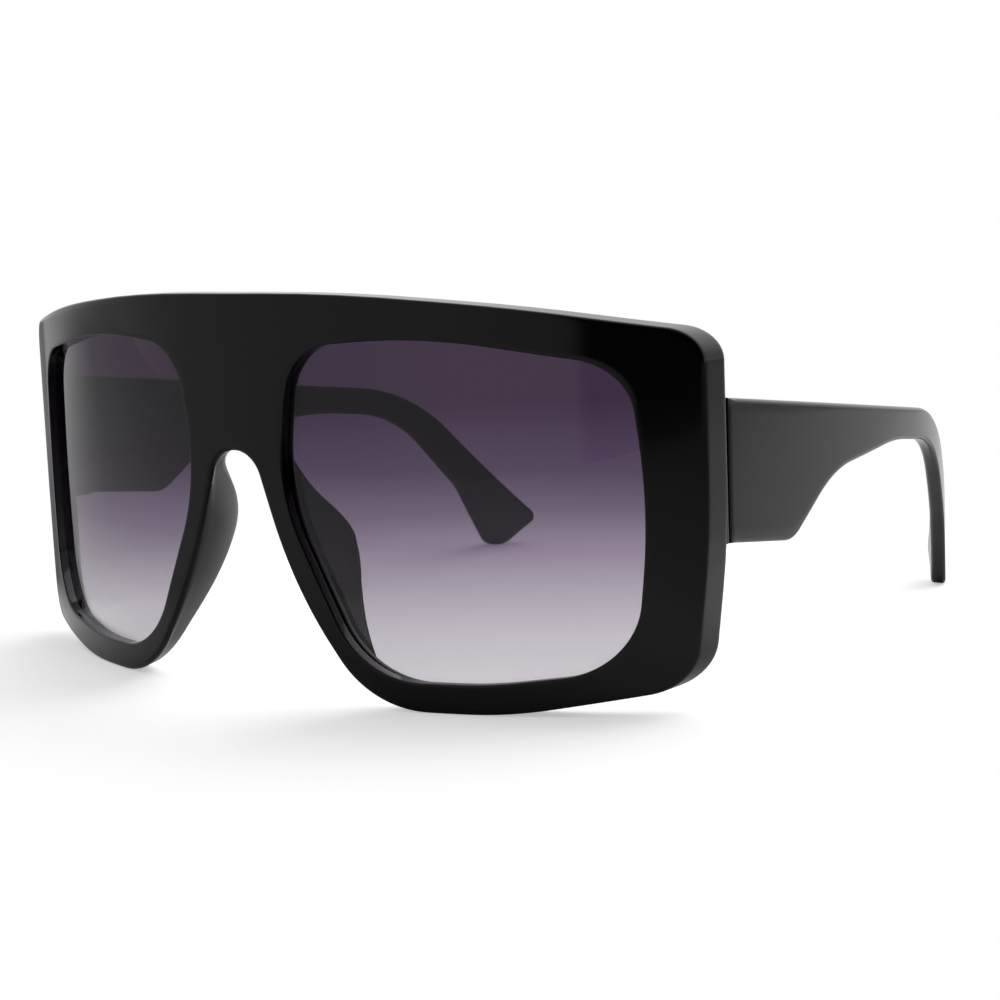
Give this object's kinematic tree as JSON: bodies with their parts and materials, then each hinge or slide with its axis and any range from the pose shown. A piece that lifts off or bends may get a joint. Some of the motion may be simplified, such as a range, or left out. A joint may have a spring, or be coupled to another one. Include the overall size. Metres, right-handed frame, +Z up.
{
  "type": "sunglasses",
  "caption": "Oversized flat-top sunglasses: one-piece wrapped front with integral nose pads, tinted lenses in grooves and folding temples on metal hinges.",
  "frame": {"origin": "on the table, under the middle of the glasses' width and depth", "axes": "+Z up, the front faces -Y, +X is the wearer's left"},
  "size_m": [0.148, 0.1446, 0.0655],
  "materials": {
    "front_plastic": "injection-moulded, polished gloss black",
    "temple_plastic": "injection-moulded, polished gloss black",
    "lens_tint": "plastic lens, graduated purple-grey tint",
    "hinge_metal": "black nickel-plated, satin",
    "screw_metal": "black nickel-plated"
  },
  "bodies": {
    "front": {"front_frame": "front_plastic", "left_lens": "lens_tint", "right_lens": "lens_tint", "left_front_hinge": "hinge_metal", "right_front_hinge": "hinge_metal", "left_hinge_screw": "screw_metal", "right_hinge_screw": "screw_metal", "left_front_screws": "screw_metal", "right_front_screws": "screw_metal"},
    "left_arm": {"left_temple": "temple_plastic", "left_temple_hinge": "hinge_metal", "left_temple_screws": "screw_metal"},
    "right_arm": {"right_temple": "temple_plastic", "right_temple_hinge": "hinge_metal", "right_temple_screws": "screw_metal"}
  },
  "joints": [
    {"name": "left_fold", "type": "hinge", "parent": "front", "child": "left_arm", "pos_m": [0.0683, -0.0406, 0.0366], "axis": [0, 0, 1], "range_deg": [0, 86]},
    {"name": "right_fold", "type": "hinge", "parent": "front", "child": "right_arm", "pos_m": [-0.0683, -0.0406, 0.0366], "axis": [0, 0, -1], "range_deg": [0, 79]}
  ]
}
